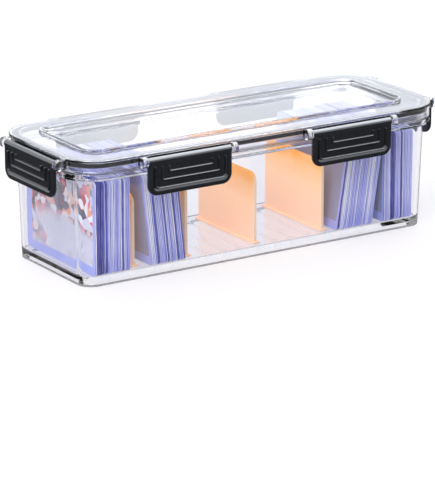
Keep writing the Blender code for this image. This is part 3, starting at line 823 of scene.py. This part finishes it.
def make_divider(number, finish, edge_finish):
    """Divider panel on its foot."""
    low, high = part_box(f"divider_{number}")
    centre = (low.x + high.x) / 2
    half = high.y - PANEL_SIDE_STEP
    outline = [(-half, low.z + FOOT_HEIGHT / 2), (half, low.z + FOOT_HEIGHT / 2)]
    for side in (1, -1):
        for step in range(CORNER_STEPS + 1):
            angle = math.pi / 2 * step / CORNER_STEPS
            swing = angle if side > 0 else math.pi / 2 - angle
            outline.append((
                side * (half - PANEL_ROUND + PANEL_ROUND * math.cos(swing)),
                high.z - PANEL_ROUND + PANEL_ROUND * math.sin(swing),
            ))
    rings = []
    middle = Vector((0, (low.z + high.z) / 2))
    for depth, share in PANEL_SECTION:
        ring = []
        for place in outline:
            pull = (middle - Vector(place)).normalized() * (PANEL_EDGE * share)
            ring.append(Vector((centre + depth * PANEL_THICKNESS / 2, place[0] + pull.x, place[1] + pull.y)))
        rings.append(ring)
    piece = new_piece(f"peach_divider_{number}", skin("panel", rings))
    foot = block("foot", low, (high.x, high.y, low.z + FOOT_HEIGHT), FINE_EDGE)
    join_or_cut(piece, [new_piece("foot", foot)], "UNION")
    mesh = piece.data
    mesh.materials.clear()
    mesh.materials.append(finish)
    mesh.materials.append(edge_finish)
    for face in mesh.polygons:
        # Faces that look along the panel's width take the painted edge glow.
        face.material_index = int(abs(face.normal.y) > EDGE_FACING)
    shade_moulding(piece)
    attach(piece, f"divider_{number}")
    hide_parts(f"divider_{number}")


peach_painted_glow_finish, peach_edge_painted_glow_finish = peach_plastic_painted_glow(), peach_edge_painted_glow()
for divider_number in range(1, 5):
    make_divider(divider_number, peach_painted_glow_finish, peach_edge_painted_glow_finish)

# Sleeved cards: each is a card between two thin lavender-tinted sheets, closed along the bottom. The
# sheets are slightly wavy and stick out past the card. Each sheet takes one of four tones: two lavenders
# are the sheets' own tint, a white one is painted highlight for the light caught at their edges, and a
# deep navy one is painted shade. A stack's outer face shows the card inside its tinted margin.
LEFT_LEAN = math.radians(6.5)
RIGHT_LEAN = math.radians(8.0)
STACK_COUNTS = (11, 11, 12, 10)
STACK_LEANS = (0, -LEFT_LEAN, RIGHT_LEAN, 0)
SHEET_THICKNESS = 0.00040
CARD_THICKNESS = 0.00070
CARD_SIDE_MARGIN = 0.0012
CARD_TOP_MARGIN = 0.0040
CARD_FOOT_MARGIN = 0.0006
SHEET_WAVE = 0.00040
# Sheet tones, dark to light within each: deep navy as painted shade, two lavenders as the sheets' own tint,
# white as painted highlight.
SHEET_TINTS_AND_PAINTED_LIGHT = (
    ("#2a2a86", "#5257bd"), ("#9ba2ea", "#c6cbfa"), ("#b0b6f3", "#dcdffc"), ("#d2d6fa", "#ffffff"),
)
SHADE_WEIGHTS = (2, 6, 6, 4)
BOARD_WEIGHTS = (1, 3)
# Sleeves whose two sheets both take the deep navy tone of painted shade.
DEEP_SLEEVES = ((1, 2), (1, 3), (4, 4))
SHEET_ROWS = 40
SHEET_CORNER = 0.0020
FACE_MARGIN = 0.0075
NEAR_MARGIN = 0.0022
FAR_MARGIN = 0.0080
BOARD_SHADES = (("card_board_deep", "#7d83d8", "#abb1f0"), ("card_board_pale", "#d9dcfa", "#ffffff"))
SHEET_STREAK_SIZE = 160
SHEET_STREAK_STRETCH = (1, 0.3, 0.12)
SHEET_STREAK_SPAN = (0.35, 0.65)
SHEET_ROUGHNESS = (0.2, 0.12)
SHEET_COAT = 0.4
CARD_FIBRE_SIZE = 300
CARD_FIBRE_STRETCH = (1, 1, 0.2)
CARD_ROUGHNESS = (0.2, 0.4)
CARD_COAT = 0.3
STREAK_DETAIL = 3.0
FIBRE_DETAIL = 4.0
FACE_CLOUD_SIZE = 40
FACE_CLOUD_STRETCH = (1, 1, 0.3)
FACE_MARGIN_SHADES = ("#8f9ae6", "#b9c2f4")
FACE_GROUND_SHADES = ("#c3c5d4", "#dcdce6")
FACE_PLAIN_SHADES = ("#8a8da6", "#a3a6bc")
PATCH_BEND_SIZE = 38
PATCH_BEND_SHARE = 0.03
PATCH_SIZE = 150
PATCH_DISORDER = 0.9
PATCH_HEIGHTS = (0.028, 0.042)
PATCH_EDGE_SHARE = 2.5
PATCH_STOPS = (
    (0.0, "#23264a"), (0.20, "#555873"), (0.36, "#a01f40"), (0.48, "#ef5f7c"),
    (0.60, "#f08a45"), (0.72, "#f8d0bc"), (0.84, "#ffffff"), (0.95, "#d9dae6"),
)
FACE_GLOSS_SIZE = 25
FACE_GLOSS_STRETCH = (1, 1, 0.4)
FACE_ROUGHNESS = (0.2, 0.15)
FACE_COAT = 0.5
SLOW_WAVE_RATES = (12, 34)
QUICK_WAVE_RATES = (70, 150)
QUICK_WAVE_SHARE = 0.35
SEEDS_PER_STACK = 100
SHADE_SEED = 40
OUTWARD_FACING = 0.9
upright_low, upright_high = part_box("sleeved_card_1_01")
SLEEVE_THICKNESS = upright_high.x - upright_low.x
SLEEVE_LENGTH = upright_high.y - upright_low.y
SLEEVE_HEIGHT = upright_high.z - upright_low.z


def sheet_plastic(name, dark, light):
    """Lavender sheet of one shade: bright and dark streaks run up its edges."""
    material, place, result = new_finish(name)
    streak = place.noise(SHEET_STREAK_SIZE, STREAK_DETAIL, SHEET_STREAK_STRETCH)
    low, high = SHEET_STREAK_SPAN
    reach = place.add("ShaderNodeMapRange", None, {"Value": streak, "From Min": low, "From Max": high})
    shader = place.add("ShaderNodeBsdfPrincipled", None, {
        "Base Color": reach.tint(colour(dark), colour(light)),
        "Roughness": streak * SHEET_ROUGHNESS[0] + SHEET_ROUGHNESS[1],
        "Coat Weight": SHEET_COAT,
    })
    close_finish(result, shader)
    return material


def card_board(name, dark, light):
    """Printed card: fine fibre over a plain ground."""
    material, place, result = new_finish(name)
    fibre = place.noise(CARD_FIBRE_SIZE, FIBRE_DETAIL, CARD_FIBRE_STRETCH)
    shader = place.add("ShaderNodeBsdfPrincipled", None, {
        "Base Color": fibre.tint(colour(dark), colour(light)),
        "Roughness": fibre * CARD_ROUGHNESS[0] + CARD_ROUGHNESS[1],
        "Coat Weight": CARD_COAT,
    })
    close_finish(result, shader)
    return material


def face_finish(name, picture):
    """Outer face of a stack: the card, plain or patterned, inside a lavender margin."""
    material, place, result = new_finish(name)
    across = place.add("ShaderNodeSeparateXYZ", None, {"Vector": place}, output=1)
    height = place.add("ShaderNodeSeparateXYZ", None, {"Vector": place}, output=2)
    near, far = (across > NEAR_MARGIN - SLEEVE_LENGTH / 2), (across < SLEEVE_LENGTH / 2 - FAR_MARGIN)
    inside = near * far * (height > FACE_MARGIN)
    cloud = place.noise(FACE_CLOUD_SIZE, stretch=FACE_CLOUD_STRETCH)
    margin = cloud.tint(colour(FACE_MARGIN_SHADES[0]), colour(FACE_MARGIN_SHADES[1]))
    if picture:
        bend = place.noise(PATCH_BEND_SIZE, 1.0)
        patches = place.add("ShaderNodeTexVoronoi", {"feature": "F1"}, {
            "Vector": place.add("ShaderNodeMix", {"data_type": "VECTOR"}, {
                0: PATCH_BEND_SHARE, 4: place, 5: bend,
            }, output=1),
            "Scale": PATCH_SIZE, "Randomness": PATCH_DISORDER,
        }, output=1)
        pick = place.add("ShaderNodeSeparateColor", None, {"Color": patches})
        stops = [(share, colour(code)) for share, code in PATCH_STOPS]
        bright = place.add("ShaderNodeValToRGB", {"stops": stops}, {"Fac": pick})
        low, high = PATCH_HEIGHTS
        ramp = place.add("ShaderNodeMapRange", None, {"Value": height, "From Min": low, "From Max": high})
        mixed = ramp + (bend - 0.5) * PATCH_EDGE_SHARE
        ground = cloud.tint(colour(FACE_GROUND_SHADES[0]), colour(FACE_GROUND_SHADES[1]))
        inner = place.add("ShaderNodeMix", {"data_type": "RGBA", "clamp_factor": True}, {
            0: mixed, 6: ground, 7: bright,
        }, output=2)
    else:
        inner = cloud.tint(colour(FACE_PLAIN_SHADES[0]), colour(FACE_PLAIN_SHADES[1]))
    face = place.add("ShaderNodeMix", {"data_type": "RGBA"}, {0: inside, 6: margin, 7: inner}, output=2)
    gloss = place.noise(FACE_GLOSS_SIZE, 1.0, FACE_GLOSS_STRETCH)
    shader = place.add("ShaderNodeBsdfPrincipled", None, {
        "Base Color": face,
        "Roughness": gloss * FACE_ROUGHNESS[0] + FACE_ROUGHNESS[1],
        "Coat Weight": FACE_COAT,
    })
    close_finish(result, shader)
    return material


def sheet_outline(margin_side, margin_foot, margin_top):
    """Outline of a sheet or card in its own plane, as rows from foot to top."""
    half = SLEEVE_LENGTH / 2 - margin_side
    low = margin_foot
    high = SLEEVE_HEIGHT - margin_top
    rows = []
    for number in range(SHEET_ROWS + 1):
        height = low + (high - low) * number / SHEET_ROWS
        from_end = min(height - low, high - height)
        cut = max(SHEET_CORNER - from_end, 0)
        bow = SHEET_CORNER - math.sqrt(max(SHEET_CORNER ** 2 - cut ** 2, 0))
        rows.append((half - bow, height))
    return rows


def wavy_slab(shape, rows, start, thickness, wave, slot):
    """Thin slab across the sleeve whose upright edges waver."""
    slices = []
    for half, height in rows:
        ring = []
        for side, depth in ((-1, 0), (-1, 1), (1, 1), (1, 0)):
            sway = wave(height, side)
            ring.append(shape.verts.new((start + sway + depth * thickness, side * half, height)))
        slices.append(ring)
    faces = []
    for low, high in zip(slices, slices[1:]):
        for index in range(4):
            after = (index + 1) % 4
            faces.append(shape.faces.new((low[index], low[after], high[after], high[index])))
    faces.append(shape.faces.new(list(reversed(slices[0]))))
    faces.append(shape.faces.new(slices[-1]))
    for face in faces:
        face.material_index = slot


def sleeve_mesh(seed):
    """Two sheets and a card between them, with waviness of their own."""
    chance = random.Random(seed)
    waves = []
    slow = (chance.uniform(*SLOW_WAVE_RATES), chance.uniform(0, math.tau), 1.0)
    for _ in range(3):
        quick = (chance.uniform(*QUICK_WAVE_RATES), chance.uniform(0, math.tau), QUICK_WAVE_SHARE)
        waves.append((slow, quick))

    def sway_of(number):
        def sway(height, side):
            total = 0
            for rate, start, weight in waves[number]:
                total += weight * math.sin(rate * height * math.tau / 2 + start + side)
            return SHEET_WAVE * total / 2
        return sway

    shape = bmesh.new()
    sheet_rows = sheet_outline(0, 0, 0)
    card_rows = sheet_outline(CARD_SIDE_MARGIN, CARD_FOOT_MARGIN, CARD_TOP_MARGIN)
    room = SLEEVE_THICKNESS - 2 * SHEET_WAVE
    back_start = SHEET_WAVE + room - SHEET_THICKNESS
    card_start = SHEET_WAVE + (room - CARD_THICKNESS) / 2
    wavy_slab(shape, sheet_rows, SHEET_WAVE, SHEET_THICKNESS, sway_of(0), 0)
    wavy_slab(shape, card_rows, card_start, CARD_THICKNESS, sway_of(1), 1)
    wavy_slab(shape, sheet_rows, back_start, SHEET_THICKNESS, sway_of(2), 2)
    bmesh.ops.recalc_face_normals(shape, faces=shape.faces)
    mesh = bpy.data.meshes.new("sleeve")
    shape.to_mesh(mesh)
    shape.free()
    return mesh


def make_stacks():
    """Four stacks of sleeved cards, each sleeve placed where its node stands."""
    sheets = []
    for number, (dark, light) in enumerate(SHEET_TINTS_AND_PAINTED_LIGHT, 1):
        sheets.append(sheet_plastic(f"sleeve_sheet_{number}", dark, light))
    boards = [card_board(*board) for board in BOARD_SHADES]
    chance = random.Random(SHADE_SEED)
    plain_face = face_finish("card_face_plain", False)
    picture_face = face_finish("card_face_pattern", True)
    for stack, (count, lean) in enumerate(zip(STACK_COUNTS, STACK_LEANS), 1):
        for number in range(1, count + 1):
            node = f"sleeved_card_{stack}_{number:02d}"
            low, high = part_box(node)
            left = low.x + SLEEVE_HEIGHT * math.sin(max(-lean, 0))
            foot = low.z + SLEEVE_THICKNESS * math.sin(max(lean, 0))
            mesh = sleeve_mesh(SEEDS_PER_STACK * stack + number)
            # Each sheet's tone is drawn at random, so some sheets are painted highlight and some painted
            # shade.
            pair = chance.choices(sheets, weights=SHADE_WEIGHTS, k=2)
            if (stack, number) in DEEP_SLEEVES:
                pair = (sheets[0], sheets[0])
            board = chance.choices(boards, weights=BOARD_WEIGHTS)[0]
            face = picture_face if stack == 1 else plain_face
            for finish in (pair[0], board, pair[1], face):
                mesh.materials.append(finish)
            piece = new_piece(f"card_in_sleeve_{stack}_{number:02d}", mesh)
            if number == 1:
                for polygon in mesh.polygons:
                    if polygon.normal.x < -OUTWARD_FACING and polygon.center.x < 2 * SHEET_WAVE:
                        polygon.material_index = 3
            piece.matrix_world = Matrix.Translation((left, 0, foot)) @ Matrix.Rotation(lean, 4, "Y")
            mesh.shade_smooth()
            mesh.set_sharp_from_angle(angle=math.radians(SMOOTH_ANGLE))
            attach(piece, f"card_stack_{stack}")
            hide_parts(node)


make_stacks()

# Studio: a pale floor that keeps a soft shadow, a surround that is white to the camera and through the
# clear plastic, with a bright wall and ceiling that only glossy faces mirror, and two soft lamps.
FLOOR_REACH = 9.0
PLAIN_LEVEL = 0.68
MIRROR_LEVEL = 0.3
WALL_GLOW = 2.0
CEILING_LEVEL = 10.0
THROUGH_DARK = 0.25
SUN_STRENGTH = 1.4
SUN_SOFTNESS = 50
FLOOR_GLOW_SHARE = 0.5
FLOOR_THROUGH_SHARE = 0.85
FLOOR_MIRROR_LEVEL = 0.13
FLOOR_SHADES = ("#f0eef0", "#f4f2f3")
FLOOR_CLOUD_SIZE = 2
FLOOR_ROUGHNESS = (0.1, 0.6)
FLOOR_SHEEN = 0.2
FLOOR_GLOW_TINT = (1.0, 0.985, 0.985, 1)
FLOOR_SQUARES = 8
WALL_TOP = 0.5
CEILING_START = (0.52, 0.66)
CEILING_END = (0.88, 0.95)
STEEP_SPAN = (0.38, 0.55)
SURROUND_TINT = (0.985, 0.985, 1.0, 1)
MIRRORED_TINT = (0.91, 0.945, 1.0, 1)
SUN_PLACE = (-1.2, -1.0, 2.6)
FILL_PLACE = (-1.7, -1.2, 0.9)
FILL_TARGET = (0, 0, 0.05)
FILL_POWER = 16
FILL_SIZE = 1.0


def make_floor():
    """Pale floor: white where it is lit, with the box's shadow kept."""
    material, place, result = new_finish("studio_floor")
    cloud = place.noise(FLOOR_CLOUD_SIZE)
    base = place.add("ShaderNodeBsdfPrincipled", None, {
        "Base Color": cloud.tint(colour(FLOOR_SHADES[0]), colour(FLOOR_SHADES[1])),
        "Roughness": cloud * FLOOR_ROUGHNESS[0] + FLOOR_ROUGHNESS[1],
        "Specular IOR Level": FLOOR_SHEEN,
    })
    glow = place.add("ShaderNodeEmission", None, {"Color": FLOOR_GLOW_TINT, "Strength": 1.0})
    camera_ray = place.add("ShaderNodeLightPath", output="Is Camera Ray")
    through_ray = place.add("ShaderNodeLightPath", output="Is Transmission Ray")
    mirror_ray = place.add("ShaderNodeLightPath", output="Is Glossy Ray")
    dim = place.add("ShaderNodeEmission", None, {"Strength": FLOOR_MIRROR_LEVEL})
    seen = place.sum("MINIMUM", camera_ray + through_ray, 1.0)
    glow_share = camera_ray * FLOOR_GLOW_SHARE + through_ray * FLOOR_THROUGH_SHARE
    shader = place.add("ShaderNodeMixShader", None, {0: glow_share, 1: base, 2: glow})
    shader = place.add("ShaderNodeMixShader", None, {0: mirror_ray * (1 - seen), 1: shader, 2: dim})
    close_finish(result, shader)
    shape = bmesh.new()
    bmesh.ops.create_grid(shape, x_segments=FLOOR_SQUARES, y_segments=FLOOR_SQUARES, size=FLOOR_REACH)
    mesh = bpy.data.meshes.new("studio_floor")
    shape.to_mesh(mesh)
    shape.free()
    floor = new_piece("studio_floor", mesh, material)


def make_surround():
    """World: plain light, and white for what the camera sees straight or through clear plastic."""
    world = bpy.data.worlds.new("studio")
    bpy.context.scene.world = world
    world.use_nodes = True
    tree = world.node_tree
    tree.nodes.clear()
    result = tree.nodes.new("ShaderNodeOutputWorld")
    start = Wire(tree, tree.nodes.new("ShaderNodeLightPath").outputs["Is Camera Ray"])
    through = start.add("ShaderNodeLightPath", output="Is Transmission Ray")
    mirror = start.add("ShaderNodeLightPath", output="Is Glossy Ray")
    towards = start.add("ShaderNodeTexCoord", output="Generated")
    up = start.add("ShaderNodeSeparateXYZ", None, {"Vector": towards}, output=2)
    reaches = []
    for low, high in (CEILING_START, CEILING_END, STEEP_SPAN):
        inputs = {"Value": up, "From Min": low, "From Max": high}
        reaches.append(start.add("ShaderNodeMapRange", None, inputs))
    ceiling, zenith, steep = reaches
    wall = (up > 0.0) * (up < WALL_TOP)
    seen_through = 1 - steep * (1 - THROUGH_DARK)
    mirrored = ceiling * (1 - zenith) * CEILING_LEVEL + wall * WALL_GLOW + MIRROR_LEVEL
    level = (1 - through) * (1 - start) * ((1 - mirror) * PLAIN_LEVEL + mirror * mirrored)
    level = level + start + through * (1 - start) * seen_through
    shade = mirror.tint(SURROUND_TINT, MIRRORED_TINT)
    light = start.add("ShaderNodeBackground", None, {"Color": shade, "Strength": level})
    tree.links.new(light.socket, result.inputs["Surface"])


def add_lamp(name, kind, place, target, strength, **settings):
    """Lamp that looks at a point."""
    lamp = bpy.data.lights.new(name, kind)
    lamp.energy = strength
    for setting, value in settings.items():
        setattr(lamp, setting, value)
    holder = bpy.data.objects.new(name, lamp)
    holder.location = place
    holder.rotation_euler = (Vector(target) - Vector(place)).to_track_quat("-Z", "Y").to_euler()
    holder.visible_camera = False
    bpy.context.scene.collection.objects.link(holder)
    return holder


make_floor()
make_surround()
add_lamp("soft_sun", "SUN", SUN_PLACE, (0, 0, 0), SUN_STRENGTH, angle=math.radians(SUN_SOFTNESS))
add_lamp("side_fill", "AREA", FILL_PLACE, FILL_TARGET, FILL_POWER, shape="SQUARE", size=FILL_SIZE)

# Camera: a long lens at the photograph's viewing angle, looking slightly down at the near left corner.
TURN = math.radians(-32.928)
RISE = math.radians(17.156)
ROLL = math.radians(0.049)
AIM_SHIFT = (0.0046, 0.0069)
DISTANCE = 2.6605
LENS = 235.90
SENSOR = 36.0
CLIP_END = 100
LIGHT_BOUNCES = 24
CLEAR_BOUNCES = 32
GLOSS_BOUNCES = 8


def make_camera():
    """Camera whose centre looks at the box from the front left."""
    right = Vector((math.cos(TURN), math.sin(TURN), 0))
    back = Vector((math.sin(TURN) * math.cos(RISE), -math.cos(TURN) * math.cos(RISE), math.sin(RISE)))
    up = back.cross(right)
    rolled_right = right * math.cos(ROLL) + up * math.sin(ROLL)
    rolled_up = up * math.cos(ROLL) - right * math.sin(ROLL)
    data = bpy.data.cameras.new("camera")
    data.sensor_fit = "AUTO"
    data.sensor_width = SENSOR
    data.lens = LENS
    data.clip_end = CLIP_END
    camera = bpy.data.objects.new("camera", data)
    bpy.context.scene.collection.objects.link(camera)
    place = back * DISTANCE - rolled_right * AIM_SHIFT[0] - rolled_up * AIM_SHIFT[1]
    turn = Matrix((rolled_right, rolled_up, back)).transposed().to_4x4()
    camera.matrix_world = Matrix.Translation(place) @ turn
    bpy.context.scene.camera = camera


make_camera()
scene = bpy.context.scene
scene.view_settings.view_transform = "Standard"
scene.cycles.max_bounces = LIGHT_BOUNCES
scene.cycles.transmission_bounces = LIGHT_BOUNCES
scene.cycles.transparent_max_bounces = CLEAR_BOUNCES
scene.cycles.glossy_bounces = GLOSS_BOUNCES
scene.cycles.caustics_reflective = False
scene.cycles.caustics_refractive = False
